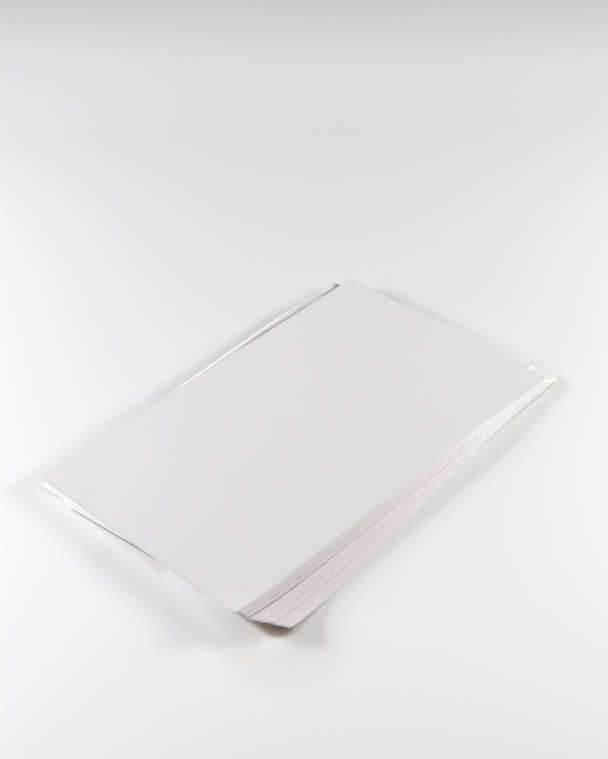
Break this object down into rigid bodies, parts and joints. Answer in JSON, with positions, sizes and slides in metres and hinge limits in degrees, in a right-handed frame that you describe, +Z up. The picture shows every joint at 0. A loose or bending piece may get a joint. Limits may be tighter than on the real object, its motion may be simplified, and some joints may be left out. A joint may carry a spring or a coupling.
{
  "type": "ream of paper",
  "caption": "Loose fanned stack of blank white office paper sheets, out of its wrapper, with one corner curled up.",
  "frame": {"origin": "on the table plane, under the centre of the stack's bounding box", "axes": "+X along the long side of the top sheet, +Z up out of the table, +Y along the short side towards the far edge; the curled corner is at -X -Y"},
  "size_m": [0.3758, 0.2652, 0.0178],
  "materials": {
    "paper": "uncoated matte white office paper, cut edges slightly warm",
    "top_paper": "uncoated matte white office paper, smooth blank face"
  },
  "bodies": {
    "root": {"bottom_sheet": "paper", "sheet_02": "paper", "sheet_03": "paper", "sheet_04": "paper", "sheet_05": "paper", "sheet_06": "paper", "sheet_07": "paper", "sheet_08": "paper", "sheet_09": "paper", "sheet_10": "paper", "sheet_11": "paper", "sheet_12": "paper", "sheet_13": "paper", "sheet_14": "paper", "sheet_15": "paper", "sheet_16": "paper", "sheet_17": "paper", "sheet_18": "paper", "sheet_19": "paper", "sheet_20": "paper", "sheet_21": "paper", "sheet_22": "paper", "sheet_23": "paper", "sheet_24": "paper", "sheet_25": "paper", "sheet_26": "paper", "sheet_27": "paper", "sheet_28": "paper", "sheet_29": "paper", "sheet_30": "paper", "sheet_31": "paper", "sheet_32": "paper", "sheet_33": "paper", "sheet_34": "paper", "sheet_35": "paper", "sheet_36": "paper", "sheet_37": "paper", "sheet_38": "paper", "sheet_39": "paper", "sheet_40": "paper", "sheet_41": "paper", "sheet_42": "paper", "sheet_43": "paper", "sheet_44": "paper", "sheet_45": "paper", "sheet_46": "paper", "sheet_47": "paper", "sheet_48": "paper", "sheet_49": "paper", "sheet_50": "paper", "sheet_51": "paper", "sheet_52": "paper", "sheet_53": "paper", "sheet_54": "paper", "sheet_55": "paper", "sheet_56": "paper", "sheet_57": "paper", "sheet_58": "paper", "sheet_59": "paper", "top_sheet": "top_paper"}
  },
  "joints": []
}
